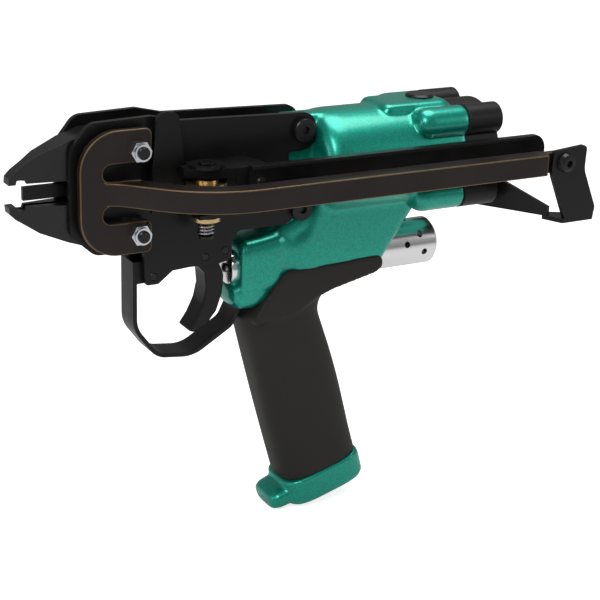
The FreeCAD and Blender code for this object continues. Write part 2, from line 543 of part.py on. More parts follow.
def make_feed():
    """Spring spool on an upright stud, its cover and bracket, the channel guard and the pusher."""
    tab = new_body("feed_guide")
    pad(tab, "XZ_Plane", [(7.5, -12), (8.0, 10), (10.0, 36.4), (21.2, 36.4), (24.6, 10), (25, -12)],
        2.4, "tab")
    round_corners(tab, "XZ_Plane", [(10.0, 36.4, 5.2), (21.2, 36.4, 5.2)])
    place(tab, (0, -15.2, 0))
    foot = box("guide_foot", (9, 24), (-14.0, -10.75), (-11, 9))
    piece(fuse("feed_guide_solid", [tab, foot]), "feed_guide")
    cover = new_body("spool_cover")
    rim = [(26.0, -10.8), (26.0, -17.0), (20.6, -17.0), (20.6, -22.6), (29, -28.6), (44, -31.8), (62, -31.8),
           (62, -27), (58, -10.8)]
    pad(cover, "XY_Plane", rim, 4.6, "lid")
    round_corners(cover, "XY_Plane", [(20.6, -22.6, 5.0), (29, -28.6, 14.0), (44, -31.8, 20.0)])
    place(cover, (0, 0, 8.1))
    lip = box("cover_lip", (44, 62), (-31.8, -30.2), (-9, 9.6))
    hole = rod("cover_hole", "stud_radius", ("stud_x", "-stud_y", 5), 10, axis="Z")
    rivet_hole = rod("cover_rivet_hole", 1.5, (56, -33, 3.0), 4, axis="Y")
    piece(cut("spool_cover_cut", fuse("spool_cover_solid", [cover, lip]), [hole, rivet_hole]), "spool_cover")
    bracket = box("bracket_plate", (26, 58), (-30.0, -10.75), (-13.6, -11.6))
    web = box("bracket_web", (48, 58), (-13.4, -10.75), (-13.6, 5.8))
    shaft = rod("bracket_hole", "stud_radius", ("stud_x", "-stud_y", -16), 8, axis="Z")
    piece(cut("spool_bracket_cut", fuse("spool_bracket_solid", [bracket, web]), [shaft]), "spool_bracket")
    turned("spool_stud", [(0, 0), (0, 3.6), (1.2, 3.6), (1.2, 1.9), (36.5, 1.9), (37.3, 1.2), (37.3, 0)],
           ("stud_x", "-stud_y", -24.6), "Z")
    turned("spring_spool", [(0, 2.03), (0, 5.5), (1.2, 5.5), (1.2, "spool_radius"),
                            ("2 * spool_half - 1.2", "spool_radius"), ("2 * spool_half - 1.2", 5.5),
                            ("2 * spool_half", 5.5), ("2 * spool_half", 2.03)],
           ("stud_x", "-stud_y", "-spool_half - 1.2"), "Z")
    turned("spool_washer", tube(1.3, 8.4, "stud_radius"), ("stud_x", "-stud_y", 10.4), "Z")
    turned("spool_clip", [(0, 1.92), (0, 3.9), (0.4, 4.1), (1.1, 4.1), (1.1, 1.92)],
           ("stud_x", "-stud_y", 11.7), "Z")
    turned("spool_collar", [(0, 1.92), (0, 5.2), (1.0, 7.0), (2.9, 7.0), (2.9, 1.92)],
           ("stud_x", "-stud_y", -16.6), "Z")
    coil("stud_spring", 3.6, 0.6, 3, 4.8, ("stud_x", "-stud_y", -22.6), "Z")
    web = new_body("guard_web")
    pad(web, "XZ_Plane", [("guard_start", "-guard_bottom"), ("guard_end", "-guard_bottom"),
                          ("guard_end", "guard_top"), ("guard_start", "guard_top")], "guard_gauge", "web")
    round_corners(web, "XZ_Plane", [("guard_end", "guard_top", 8.0)])
    place(web, (0, "guard_gauge / 2 - guard_outer", 0))
    lips = [box("guard_lip_top", ("guard_start", "guard_end - 8"), (-36.2, "-guard_outer"),
                ("guard_top - 1.6", "guard_top")),
            box("guard_lip_low", ("guard_start", "guard_end"), (-36.2, "-guard_outer"),
                ("-guard_bottom", "1.6 - guard_bottom"))]
    channel = fuse("guard_solid", [web] + lips)
    nicks = [rod(f"guard_rivet_hole_{index}", 1.5, (x, -35, z), 4, axis="Y")
             for index, (x, z) in enumerate(GUARD_FASTENERS)]
    piece(cut("guard_cut", channel, nicks), "channel_guard")
    group("guard_rivets", [turned(f"guard_rivet_{index}",
                                  [(0, 0), (0.3, 1.5), (1.0, 2.4), (1.0, 1.5), (4.2, 1.5), (4.2, 0)],
                                  (x, -35.0, z), "Y", keep=False)
                           for index, (x, z) in enumerate(GUARD_FASTENERS)])
    group("guard_standoffs", [turned(f"guard_standoff_{index}", tube(5.0, 4.0, 1.5), (x, -32.0, z), "Y",
                                     keep=False) for index, (x, z) in enumerate(GUARD_FASTENERS[1:])])
    carriage = box("pusher_block", (66, 90), (-42.9, -36.6), (-6.4, 3.0), rounding=1.0)
    shoe = box("pusher_shoe", (68, 88), (-38, -35.4), (-7.0, 1.6))
    piece(fuse("pusher_solid", [carriage, shoe]), "feed_pusher")


def make_bracket():
    """Bent steel strap from the rear cap to the end of the bar."""
    rear = number("barrel_end + gasket_gauge + cap_length")
    base = box("strap_base", (rear, rear + 2.5), (-12, 9), (-30, -6))
    arm = new_body("strap_arm")
    pad(arm, "XZ_Plane", [(0, -31), (0, -13), (8, -13.5), (40, -26), (40, -31)], 2.5, "arm", both=False)
    turn = FreeCAD.Rotation(V(0, 0, 1), -57)
    place(arm, (rear + 2.5 * math.sin(math.radians(57)), -9.5 + 2.5 * math.cos(math.radians(57)), 0), turn)
    flat = new_body("strap_flat")
    pad(flat, "XY_Plane", [(221, -40.5), (226, -51.5), (246, -51.5), (243, -46), (225.5, -36.5)], 2.5,
        "flat", both=False)
    place(flat, (0, 0, -33))
    upright = new_body("strap_upright")
    pad(upright, "XZ_Plane", [(228.5, -33), (226.5, -29), (216, -5), (216.5, 6.5), (238, 8.4), (237.6, -5),
                              (247, -26), (246, -33)], 2.5, "upright", both=False)
    round_corners(upright, "XZ_Plane", [(216.5, 6.5, 3.0), (238, 8.4, 2.5), (237.6, -5, 12.0),
                                        (216, -5, 12.0), (247, -26, 3.0)])
    place(upright, (0, -49.0, 0))
    strap = fuse("strap_solid", [base, arm, flat, upright])
    cuts = [rod("strap_eye", 2.55, (224.5, -60, 0), 15, axis="Y")]
    cuts += [rod(f"strap_hole_{index}", 1.9, (rear - 1, 0, z), 5) for index, z in enumerate((-12, -22))]
    piece(cut("strap_cut", strap, cuts), "rear_bracket")
    turned("bracket_screw", [(-3.4, 1.8), (-3.4, 3.0), (-2.4, 4.4), (-0.6, 5.2), (0, 5.2), (0, 2.5),
                             (9.0, 2.5), (9.5, 2.0), (9.5, 0), (-1.6, 0), (-1.6, 1.8)],
           (224.5, -51.5, 0), "Y")
    group("strap_screws", [cap_screw(f"strap_screw_{index}", (rear + 2.5, 0, z), REVERSE_X, 1.9, 9.0,
                                     3.4, 2.2, 1.4) for index, z in enumerate((-12, -22))])


# --- trigger, valve and guard -----------------------------------------------------------------------
def make_trigger():
    body = new_body("trigger")
    blade = [(34.5, -35.0), (43, -35.0), (47.6, -43), (51.2, -51), (50.4, -61), (47.4, -70),
             (42, -76.5), (34.8, -79.8), (31.8, -78.4), (36, -72.5), (39.6, -65), (41.4, -57), (40.6, -49),
             (34.5, -43)]
    pad(body, "XZ_Plane", blade, 13.0, "blade")
    round_corners(body, "XZ_Plane", [(34.5, -35.0, 3.5), (43, -35.0, 3.5), (51.2, -51, 8.0),
                                     (50.4, -61, 10.0), (42, -76.5, 6.0), (39.6, -65, 10.0)])
    holes(body, "XZ_Plane", [("trigger_pin_x", "-trigger_pin_z", "pin_radius + 0.05")], 40)
    place(body, (0, 0, 0))
    piece(body, "trigger")


def make_guard_strap():
    """A flat strip bent into a loop in front of the grip."""
    body = new_body("trigger_guard")
    outer = [(1.6, -38), (1.6, -73), (14, -89.5), (34, -92), (56, -79), (60.5, -70), (60.5, -64.1),
             (58.3, -64.1), (58.3, -69.5), (54.3, -77.6), (33.4, -89.8), (15.1, -87.4), (3.8, -72.3),
             (3.8, -49.4), (14, -49.4), (14, -38)]
    pad(body, "XZ_Plane", outer, 15.0, "loop")
    round_corners(body, "XZ_Plane", [(1.6, -73, 16.0), (14, -89.5, 12.0), (34, -92, 18.0), (56, -79, 9.0),
                                     (54.3, -77.6, 7.0), (33.4, -89.8, 16.0), (15.1, -87.4, 10.0),
                                     (3.8, -72.3, 14.0)])
    holes(body, "XZ_Plane", [(11, -45.5, "pin_radius")], 20)
    place(body, (0, 0, 0))
    return piece(body, "trigger_guard")


def make_valve():
    turned("valve_bushing", [(0, "stem_radius + 0.05"), (0, 6.4), (0.8, 7.2), (4, 7.2), (4, "valve_radius"),
                             (30, "valve_radius"), (30, 7), (20, 7), (20, "stem_radius + 0.05")],
           (54.5, 0, "-valve_z"))
    turned("valve_stem", [(0, 0), (0.6, 2.0), (1.2, "stem_radius"), (22.5, "stem_radius"), (22.5, 6.4),
                          (27, 6.4), (27, "stem_radius"), (50, "stem_radius"), (51, 1.8), (51, 0)],
           (52.9, 0, "-valve_z"))
    coil("valve_spring", 5.0, 0.6, 5, 22.0, (81.2, 0, "-valve_z"), "X")
    sleeve = turned("exhaust_sleeve", [(0, 4), (0, "sleeve_radius"), (37, "sleeve_radius"),
                                       (39, "sleeve_radius - 2"), (39, 6), (12, 6), (12, 4)],
                    (137, 0, "-valve_z"), keep=False)
    vents = [rod(f"vent_{index}", 1.7, (x, -16, f"{level} - valve_z"), 32, axis="Y")
             for index, (x, level) in enumerate(((164.5, 7.0), (167, -2.5), (156, 2.5)))]
    vents.append(rod("vent_top", 1.7, (160, 0, "-valve_z - 16"), 32, axis="Z"))
    piece(cut("sleeve_cut", sleeve, vents), "exhaust_sleeve")
    turned("exhaust_plug", [(0, 0), (0, 5.9), (6.2, 5.9), (6.2, 6.6), (8.5, 6.6), (9, 6), (9, 0)],
           (169.8, 0, "-valve_z"))
    turned("port_plug", [(0, 0), (0, 6.4), (5.9, 6.4), (5.9, 7.4), (7.3, 7.4), (8.1, 6.4), (8.1, 0)],
           (166, 0, 22.3), "Z")


# --- grip ---------------------------------------------------------------------------------------------
def make_grip():
    """Rubber sleeve round the core, painted foot and threaded inlet bush."""
    shell = new_body("grip_shell")
    pad(shell, "XZ_Plane", [("-grip_front", "grip_low"), ("-grip_front", "grip_high"),
                            ("grip_rear_top", "grip_high"), ("grip_rear_low", "grip_low")],
        "2 * grip_half_width", "side")
    place(shell, (0, 0, 0), grip=True)
    doc.recompute()
    sleeve = doc.addObject("Part::Fillet", "grip_rounded")
    sleeve.Base = shell
    edge_radius = DIMS["grip_edge"]
    sleeve.Edges = [(index, edge_radius, edge_radius) for index, edge in enumerate(shell.Shape.Edges, 1)
                    if abs(edge.Vertexes[0].Z - edge.Vertexes[1].Z) > 50]
    tang = box("grip_tang", (76, 139), ("-grip_half_width", "grip_half_width"), (-66.0, -48.6),
               rounding=2.4)
    hollow = box("grip_hollow", ("-core_depth - 0.05", "core_depth + 0.05"),
                 ("-core_half_width - 0.05", "core_half_width + 0.05"), ("grip_low - 2", 130), grip=True)
    seat = box("grip_seat", (50, 146), ("-block_half - 0.05", "block_half + 0.05"),
               ("-block_low - 0.05", -30))
    nib_seat = box("nib_seat", (50, 74.1), (-11.1, 11.1), (-69.1, -58))
    throat = box("sleeve_throat", (130, 150), (-13, 13), (-64.1, -30))
    rubber = fuse("grip_solid", [sleeve, tang])
    piece(cut("grip_cut", rubber, [hollow, seat, nib_seat, throat]), "grip_sleeve")
    heel = box("foot_block", ("-grip_front - 1", "grip_rear_low + 0.6"),
               ("-grip_half_width - 0.4", "grip_half_width + 0.4"), (0, "foot_height"), grip=True,
               rounding=5.0)
    toe = box("foot_toe", (-31, -8), (-12, 12), (1.5, 12), grip=True, rounding=4.0)
    bore = rod("foot_bore", 9.0, (0, 0, -1), 30, axis="Z", grip=True)
    piece(cut("foot_cut", fuse("foot_solid", [heel, toe]), [bore]), "grip_foot")
    turned("inlet_bush", [(0, "inlet_bore"), (0, 8.95), ("inlet_depth", 8.95), ("foot_height - 0.3", 8.95),
                          ("foot_height - 0.3", 4.0), ("inlet_depth", 4.0), ("inlet_depth", "inlet_bore")],
           (0, 0, 0), "Z", grip=True)


make_casting()
make_rear_cap()
make_cylinder_parts()
make_wedge()
make_jaws()
make_side_plate("side_plate_left", -1)
make_side_plate("side_plate_right", 1)
make_frame_fasteners()
make_rail()
make_feed()
make_bracket()
make_trigger()
make_guard_strap()
make_valve()
make_grip()
doc.recompute()

for item in doc.Objects:
    if {"Invalid", "Error"} & set(item.State):
        raise RuntimeError(f"{item.Name} ({item.Label}) failed: {item.State}")
os.makedirs("parts", exist_ok=True)
for item in pieces:
    if item.Shape.isNull() or not item.Shape.isValid():
        raise RuntimeError(f"{item.Label} has no valid shape")
    item.Shape.exportStep(f"parts/{item.Label}.step")
    limits = item.Shape.BoundBox
    print(f"{item.Label:20s} solids {len(item.Shape.Solids)}  volume {item.Shape.Volume:9.0f}  "
          f"x {limits.XMin:7.1f} {limits.XMax:7.1f}  y {limits.YMin:6.1f} {limits.YMax:6.1f}  "
          f"z {limits.ZMin:6.1f} {limits.ZMax:6.1f}")
print(len(pieces), "pieces")
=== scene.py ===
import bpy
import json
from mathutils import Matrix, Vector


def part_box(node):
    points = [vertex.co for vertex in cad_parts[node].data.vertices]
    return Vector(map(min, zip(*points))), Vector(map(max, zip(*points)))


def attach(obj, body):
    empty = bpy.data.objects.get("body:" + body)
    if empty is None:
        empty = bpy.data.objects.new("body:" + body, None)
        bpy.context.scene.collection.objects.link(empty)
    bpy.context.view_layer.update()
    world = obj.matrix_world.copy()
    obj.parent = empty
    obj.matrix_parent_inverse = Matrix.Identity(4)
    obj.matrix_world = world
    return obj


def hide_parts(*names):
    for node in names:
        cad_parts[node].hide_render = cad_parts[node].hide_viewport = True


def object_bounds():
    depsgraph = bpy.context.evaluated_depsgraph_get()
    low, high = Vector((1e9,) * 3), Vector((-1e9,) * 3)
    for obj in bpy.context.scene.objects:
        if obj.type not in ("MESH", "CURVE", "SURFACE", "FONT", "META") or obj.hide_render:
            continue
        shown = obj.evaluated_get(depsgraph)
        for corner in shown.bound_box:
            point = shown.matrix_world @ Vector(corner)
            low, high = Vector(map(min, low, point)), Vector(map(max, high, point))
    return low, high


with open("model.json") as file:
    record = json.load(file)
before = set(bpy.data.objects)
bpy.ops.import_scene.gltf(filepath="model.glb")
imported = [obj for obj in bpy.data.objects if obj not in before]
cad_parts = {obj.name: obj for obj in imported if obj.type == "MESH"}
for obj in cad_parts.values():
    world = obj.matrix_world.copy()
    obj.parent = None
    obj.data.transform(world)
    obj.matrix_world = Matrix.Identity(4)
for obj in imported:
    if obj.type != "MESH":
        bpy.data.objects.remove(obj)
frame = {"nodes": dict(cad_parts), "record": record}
CAD_BOX = [list(corner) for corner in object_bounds()]

import json
import math

import bmesh
import bpy
import numpy as np
from mathutils import Matrix, Vector

bl_info = {
    "name": "Ring gun",
    "version": (1, 0, 0),
    "blender": (4, 5, 0),
    "location": "View3D > Sidebar > Ring gun",
    "description": "Builds a pneumatic ring stapling gun around its CAD frame",
    "category": "Add Mesh",
}

MM = 0.001
FLOOR_GAP = 0.2 * MM
FINISH_PREFIX = "finish_"  # the imported CAD materials already have the plain names
BAR_POWER = 6.0  # superellipse power of a squared bar
GRIP_START, GRIP_SPAN = 16, 106  # millimetres up the grip where its bow begins, and how far it runs


def middle(node):
    """Centre of a CAD node's box, in metres."""
    low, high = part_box(node)
    return (low + high) / 2


# Layout coordinates are millimetres from the jaw bolts on the cylinder's axis, as the tool is drawn.
AXIS = np.array((middle("lock_nuts").x, 0.0, middle("jaw_bolts").z))
GRIP_TILT = math.atan2(
    -frame["record"]["mounts"][0]["axis"][0], -frame["record"]["mounts"][0]["axis"][2]
)


def bore_space(points):
    """Millimetres along the cylinder's axis, as metres in the frame."""
    return AXIS + MM * np.asarray(points, float)


def grip_space(points):
    """Millimetres along the tilted grip from the air inlet, as metres in the frame."""
    x, y, z = np.moveaxis(np.asarray(points, float), -1, 0)
    cosine, sine = math.cos(GRIP_TILT), math.sin(GRIP_TILT)
    turned = np.stack((x * cosine + z * sine, y, z * cosine - x * sine), axis=-1)
    return MM * turned


# --- properties -----------------------------------------------------------------------------------
class RingGunSizes(bpy.types.PropertyGroup):
    """Sizes of the pieces that are modelled afresh; the rest come from the frame."""

    casting_grain: bpy.props.FloatProperty(
        name="Casting grain", description="Size of the cells the cast forms are blended with",
        default=0.9 * MM, unit="LENGTH",
    )
    casting_softness: bpy.props.IntProperty(
        name="Casting softness", description="Smoothing passes over the casting's blends", default=9
    )
    edge_break: bpy.props.FloatProperty(
        name="Edge break", description="Width of the bevel on plates and machined parts",
        default=0.55 * MM, unit="LENGTH",
    )
    grip_swell: bpy.props.FloatProperty(
        name="Grip swell", description="How far the palm side of the grip stands out", default=1.6 * MM,
        unit="LENGTH",
    )


class RingGunColours(bpy.types.PropertyGroup):
    """Base colours of the finishes."""

    paint: bpy.props.FloatVectorProperty(
        name="Paint", description="Metallic enamel of casting and foot", subtype="COLOR",
        default=(0.005, 0.35, 0.255),
    )
    black: bpy.props.FloatVectorProperty(
        name="Black finish", description="Satin black of plates, cap and jaws", subtype="COLOR",
        default=(0.0055, 0.0053, 0.0053),
    )
    brown: bpy.props.FloatVectorProperty(
        name="Tempered steel", description="Brown black of the heat-treated rail", subtype="COLOR",
        default=(0.026, 0.020, 0.018),
    )
    # Painted edge highlight: a light straw colour laid on the rail's bevelled edges, where light catches
    # them.
    edge_highlight_paint: bpy.props.FloatVectorProperty(
        name="Painted edge highlight", description="Painted straw highlight on the rail's broken edges", subtype="COLOR",
        default=(0.15, 0.098, 0.048),
    )
    rubber: bpy.props.FloatVectorProperty(
        name="Rubber", description="Moulded sleeve of the grip", subtype="COLOR",
        default=(0.018, 0.0165, 0.0145),
    )


class RingGunStage(bpy.types.PropertyGroup):
    """Camera and light."""

    azimuth: bpy.props.FloatProperty(
        name="Azimuth", description="Camera's turn from square-on to the rail", subtype="ANGLE",
        default=math.radians(29.88),
    )
    elevation: bpy.props.FloatProperty(
        name="Elevation", description="Camera's height above the level", subtype="ANGLE",
        default=math.radians(19.95),
    )
    roll: bpy.props.FloatProperty(
        name="Roll", description="Tilt of the picture", subtype="ANGLE", default=math.radians(2.01)
    )
    distance: bpy.props.FloatProperty(
        name="Distance", description="From the camera to the point it looks at", default=0.7826,
        unit="LENGTH",
    )
    target: bpy.props.FloatVectorProperty(
        name="Target", description="Point the camera looks at", default=(-0.0131, 0.0, 0.109),
        unit="LENGTH",
    )
    surround: bpy.props.FloatProperty(
        name="Surround", description="Brightness of the studio around the tool", default=0.22
    )
    floor_glow: bpy.props.FloatProperty(
        name="Floor glow", description="Light the floor gives, so that it stays white far from the lamps",
        default=0.78,
    )
    lens: bpy.props.FloatProperty(name="Lens", description="Focal length in millimetres", default=90.0)


SETTINGS = {
    "ring_gun_sizes": RingGunSizes,
    "ring_gun_colours": RingGunColours,
    "ring_gun_stage": RingGunStage,
}


# --- shader node groups ---------------------------------------------------------------------------
def new_group(name, inputs, outputs):
    """An empty shader node group with float inputs {name: default} and named outputs."""
    group = bpy.data.node_groups.new(name, "ShaderNodeTree")
    for label, value in inputs.items():
        socket = group.interface.new_socket(label, in_out="INPUT", socket_type="NodeSocketFloat")
        socket.default_value = value
    for label in outputs:
        group.interface.new_socket(label, in_out="OUTPUT", socket_type="NodeSocketFloat")
    return group, group.nodes.new("NodeGroupInput"), group.nodes.new("NodeGroupOutput")


def math_node(group, operation, first, second):
    """A math node on sockets or plain numbers."""
    node = group.nodes.new("ShaderNodeMath")
    node.operation = operation
    for slot, value in zip(node.inputs, (first, second)):
        if isinstance(value, (int, float)):
            slot.default_value = value
        else:
            group.links.new(value, slot)
    return node.outputs[0]


def noise(group, scale, detail, stretch=(1, 1, 1)):
    """Noise on Object coordinates, stretched along the axes."""
    place = group.nodes.new("ShaderNodeTexCoord")
    mapping = group.nodes.new("ShaderNodeMapping")
    mapping.inputs["Scale"].default_value = stretch
    texture = group.nodes.new("ShaderNodeTexNoise")
    texture.inputs["Detail"].default_value = detail
    group.links.new(place.outputs["Object"], mapping.inputs["Vector"])
    group.links.new(mapping.outputs["Vector"], texture.inputs["Vector"])
    if isinstance(scale, (int, float)):
        texture.inputs["Scale"].default_value = scale
    else:
        group.links.new(scale, texture.inputs["Scale"])
    return texture.outputs["Fac"]


def make_mottle():
    """Cloudy variation: a mask from soft noise, a roughness spread about Level, and fine relief."""
    group, given, made = new_group(
        "Mottle", {"Scale": 60.0, "Level": 0.4, "Spread": 0.12, "Grain": 900.0},
        ("Mask", "Roughness", "Height"),
    )
    cloud = noise(group, given.outputs["Scale"], 4.0)
    grain = noise(group, given.outputs["Grain"], 2.0)
    swing = math_node(group, "SUBTRACT", cloud, 0.5)
    spread = math_node(group, "MULTIPLY", swing, given.outputs["Spread"])
    doubled = math_node(group, "MULTIPLY", spread, 2.0)
    group.links.new(cloud, made.inputs["Mask"])
    group.links.new(math_node(group, "ADD", doubled, given.outputs["Level"]), made.inputs["Roughness"])
    group.links.new(grain, made.inputs["Height"])
    return group


def make_flakes():
    """Metal flakes in enamel: each Voronoi cell gets its own brightness, and a slow orange-peel relief."""
    group, given, made = new_group("Flakes", {"Density": 2600.0, "Peel": 260.0}, ("Sparkle", "Height"))
    place = group.nodes.new("ShaderNodeTexCoord")
    cells = group.nodes.new("ShaderNodeTexVoronoi")
    group.links.new(place.outputs["Object"], cells.inputs["Vector"])
    group.links.new(given.outputs["Density"], cells.inputs["Scale"])
    split = group.nodes.new("ShaderNodeSeparateColor")
    group.links.new(cells.outputs["Color"], split.inputs["Color"])
    group.links.new(split.outputs[0], made.inputs["Sparkle"])
    group.links.new(noise(group, given.outputs["Peel"], 1.0), made.inputs["Height"])
    return group


def make_brushed():
    """Turning or grinding marks: noise stretched along X, as a roughness spread and a relief."""
    group, given, made = new_group(
        "Brushed", {"Scale": 900.0, "Level": 0.25, "Spread": 0.1}, ("Roughness", "Height")
    )
    lines = noise(group, given.outputs["Scale"], 3.0, stretch=(0.06, 1, 1))
    swing = math_node(group, "SUBTRACT", lines, 0.5)
    spread = math_node(group, "MULTIPLY", swing, given.outputs["Spread"])
    group.links.new(math_node(group, "ADD", spread, given.outputs["Level"]), made.inputs["Roughness"])
    group.links.new(lines, made.inputs["Height"])
    return group


def add_group(material, name, **values):
    """A copy of a node group in a material, with its own input values."""
    node = material.node_tree.nodes.new("ShaderNodeGroup")
    node.node_tree = bpy.data.node_groups[name]
    for label, value in values.items():
        node.inputs[label].default_value = value
    return node


def relief(material, height, strength, depth):
    """A Bump node from a height socket into the shader's Normal."""
    tree = material.node_tree
    bump = tree.nodes.new("ShaderNodeBump")
    bump.inputs["Strength"].default_value = strength
    bump.inputs["Distance"].default_value = depth
    tree.links.new(height, bump.inputs["Height"])
    tree.links.new(bump.outputs["Normal"], tree.nodes["Principled BSDF"].inputs["Normal"])


def shade(material, mask, dark, light):
    """A base colour that runs from dark to light with a mask."""
    tree = material.node_tree
    mix = tree.nodes.new("ShaderNodeMix")
    mix.data_type = "RGBA"
    for label, colour in (("A", dark), ("B", light)):
        next(s for s in mix.inputs if s.name == label and s.type == "RGBA").default_value = (*colour, 1)
    tree.links.new(mask, next(s for s in mix.inputs if s.name == "Factor" and s.type == "VALUE"))
    result = next(s for s in mix.outputs if s.type == "RGBA")
    tree.links.new(result, tree.nodes["Principled BSDF"].inputs["Base Color"])


def principled(name, colour, metallic=0.0, roughness=0.4, **extra):
    """A material with one Principled shader and constant inputs."""
    material = bpy.data.materials.new(FINISH_PREFIX + name)
    material.use_nodes = True
    shader = material.node_tree.nodes["Principled BSDF"]
    values = {"Base Color": (*colour, 1), "Metallic": metallic, "Roughness": roughness, **extra}
    for label, value in values.items():
        shader.inputs[label].default_value = value
    return material


def tinted(colour, factor):
    return tuple(min(1.0, channel * factor) for channel in colour)


def make_mottled(name, colour, metallic, level, spread=0.1, scale=60.0, vary=0.35, grain=900.0,
                 bump=0.12, **extra):
    """A finish with cloudy roughness and colour and a fine relief."""
    material = principled(name, colour, metallic, **extra)
    group = add_group(material, "Mottle", Scale=scale, Level=level, Spread=spread, Grain=grain)
    shader = material.node_tree.nodes["Principled BSDF"]
    material.node_tree.links.new(group.outputs["Roughness"], shader.inputs["Roughness"])
    shade(material, group.outputs["Mask"], tinted(colour, 1 - vary), tinted(colour, 1 + vary))
    relief(material, group.outputs["Height"], bump, 0.05 * MM)
    return material


def make_machined(name, colour, level, spread=0.1, bump=0.08, **extra):
    """Turned or ground metal."""
    material = principled(name, colour, 1.0, **extra)
    group = add_group(material, "Brushed", Level=level, Spread=spread)
    shader = material.node_tree.nodes["Principled BSDF"]
    material.node_tree.links.new(group.outputs["Roughness"], shader.inputs["Roughness"])
    relief(material, group.outputs["Height"], bump, 0.03 * MM)
    return material


def make_enamel(name, colour):
    """Metallic enamel under a clear coat: flakes vary the colour, orange peel moves the reflections."""
    material = principled(name, colour, 0.72, 0.36, **{"Coat Weight": 0.55, "Coat Roughness": 0.16})
    group = add_group(material, "Flakes")
    shade(material, group.outputs["Sparkle"], tinted(colour, 0.78), tinted(colour, 1.28))
    relief(material, group.outputs["Height"], 0.10, 0.10 * MM)
    return material


# --- meshes ---------------------------------------------------------------------------------------
def new_object(name, points, faces):
    """An object with its place in its mesh; doubles are merged and the faces turned outwards."""
    mesh = bpy.data.meshes.new(name)
    mesh.from_pydata(np.asarray(points, float).reshape(-1, 3).tolist(), [], faces)
    work = bmesh.new()
    work.from_mesh(mesh)
    bmesh.ops.remove_doubles(work, verts=work.verts, dist=1e-7)
    bmesh.ops.recalc_face_normals(work, faces=work.faces)
    work.to_mesh(mesh)
    work.free()
    item = bpy.data.objects.new(name, mesh)
    bpy.context.scene.collection.objects.link(item)
    return item


def grid_faces(rows, columns):
    """Quads of a grid whose rows are closed loops, with a face over each end."""
    start = np.arange(rows - 1)[:, None] * columns + np.arange(columns)
    following = np.arange(rows - 1)[:, None] * columns + (np.arange(columns) + 1) % columns
    quads = np.stack((start, following, following + columns, start + columns), axis=-1)
    ends = [list(range(columns)), list(range((rows - 1) * columns, rows * columns))]
    return quads.reshape(-1, 4).tolist() + ends


def shell(rows):
    """(points, faces) of a closed shell whose rows are closed loops of points."""
    rows = np.asarray(rows, float)
    return rows.reshape(-1, 3), grid_faces(*rows.shape[:2])


def loops(stations, columns=64):
    """Superellipse sections: each station (x, y, z, half_a, half_b, power) gives the loop
    y + half_a * |cos|^(2/power), z + half_b * |sin|^(2/power), signs kept, in the plane of that x."""
    x, y, z, half_a, half_b, power = np.asarray(stations, float).T[:, :, None]
    turn = np.linspace(0, 2 * np.pi, columns, endpoint=False)[None, :]
    cosine, sine = np.cos(turn), np.sin(turn)
    wide = np.sign(cosine) * np.abs(cosine) ** (2 / power)
    high = np.sign(sine) * np.abs(sine) ** (2 / power)
    return np.stack((x + 0 * wide, y + half_a * wide, z + half_b * high), axis=-1)


def rounded_bar(x, y, z, rounding):
    """A bar along X between limits on each axis; its ends are rounded by a quarter circle."""
    turn = np.linspace(0, np.pi / 2, 6)
    inset = rounding * (1 - np.sin(turn))
    along = rounding * (1 - np.cos(turn))
    stations = []
    for offset, shrink in list(zip(along, inset)) + list(zip(x[1] - x[0] - along[::-1], inset[::-1])):
        stations.append((x[0] + offset, (y[0] + y[1]) / 2, (z[0] + z[1]) / 2,
                         (y[1] - y[0]) / 2 - shrink, (z[1] - z[0]) / 2 - shrink, BAR_POWER))
    return loops(stations)


def slab(outline, half_width):
    """An outline of (x, z) points carried across Y."""
    x, z = np.asarray(outline, float).T
    sides = np.array((-half_width, half_width))[:, None]
    return np.stack((x + 0 * sides, sides + 0 * x, z + 0 * sides), axis=-1)


def turned_rows(profile, centre=(0, 0), columns=64):
    """A profile of (x, radius) points carried round an axis parallel to X."""
    x, radius = np.asarray(profile, float).T[:, :, None]
    turn = np.linspace(0, 2 * np.pi, columns, endpoint=False)[None, :]
    return np.stack((x + 0 * turn, centre[0] + radius * np.cos(turn), centre[1] + radius * np.sin(turn)),
                    axis=-1)


def merge_shells(shells):
    """Several shells as one list of points and faces."""
    points, faces, count = [], [], 0
    for shell_points, shell_faces in shells:
        points.append(shell_points)
        faces += [[index + count for index in face] for face in shell_faces]
        count += len(shell_points)
    return np.concatenate(points), faces


def apply_modifiers(item):
    """Keep what the modifiers make as the object's own mesh."""
    evaluated = item.evaluated_get(bpy.context.evaluated_depsgraph_get())
    mesh = bpy.data.meshes.new_from_object(evaluated)
    item.modifiers.clear()
    item.data = mesh
    mesh.name = item.name


def cast_form(name, shells, grain, passes):
    """Overlapping shells blended into one skin by cells of one size; smoothing then fillets the joints."""
    item = new_object(name, *merge_shells(shells))
    remesh = item.modifiers.new("Skin", "REMESH")
    remesh.mode = "VOXEL"
    remesh.voxel_size = grain
    remesh.use_smooth_shade = True
    smooth = item.modifiers.new("Blend", "SMOOTH")
    smooth.factor = 0.5
    smooth.iterations = passes
    bpy.context.view_layer.update()
    apply_modifiers(item)
    return item


def carve(item, cutter):
    """Take the cutter's volume out of a piece."""
    boolean = item.modifiers.new("Carve", "BOOLEAN")
    boolean.operation = "DIFFERENCE"
    boolean.object = cutter
    boolean.solver = "EXACT"
    bpy.context.view_layer.update()
    apply_modifiers(item)
    bpy.data.objects.remove(cutter)


def smooth_faces(item, angle=math.radians(35)):
    item.data.polygons.foreach_set("use_smooth", [True] * len(item.data.polygons))
    item.data.set_sharp_from_angle(angle=angle)


def finish(item, body, *materials, replaces=()):
    """Paint a new piece, ride it on its body and stand it in for its CAD nodes."""
    item.data.materials.clear()
    for material in materials:
        item.data.materials.append(bpy.data.materials[FINISH_PREFIX + material])
    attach(item, body)
    if replaces:
        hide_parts(*replaces)
    return item


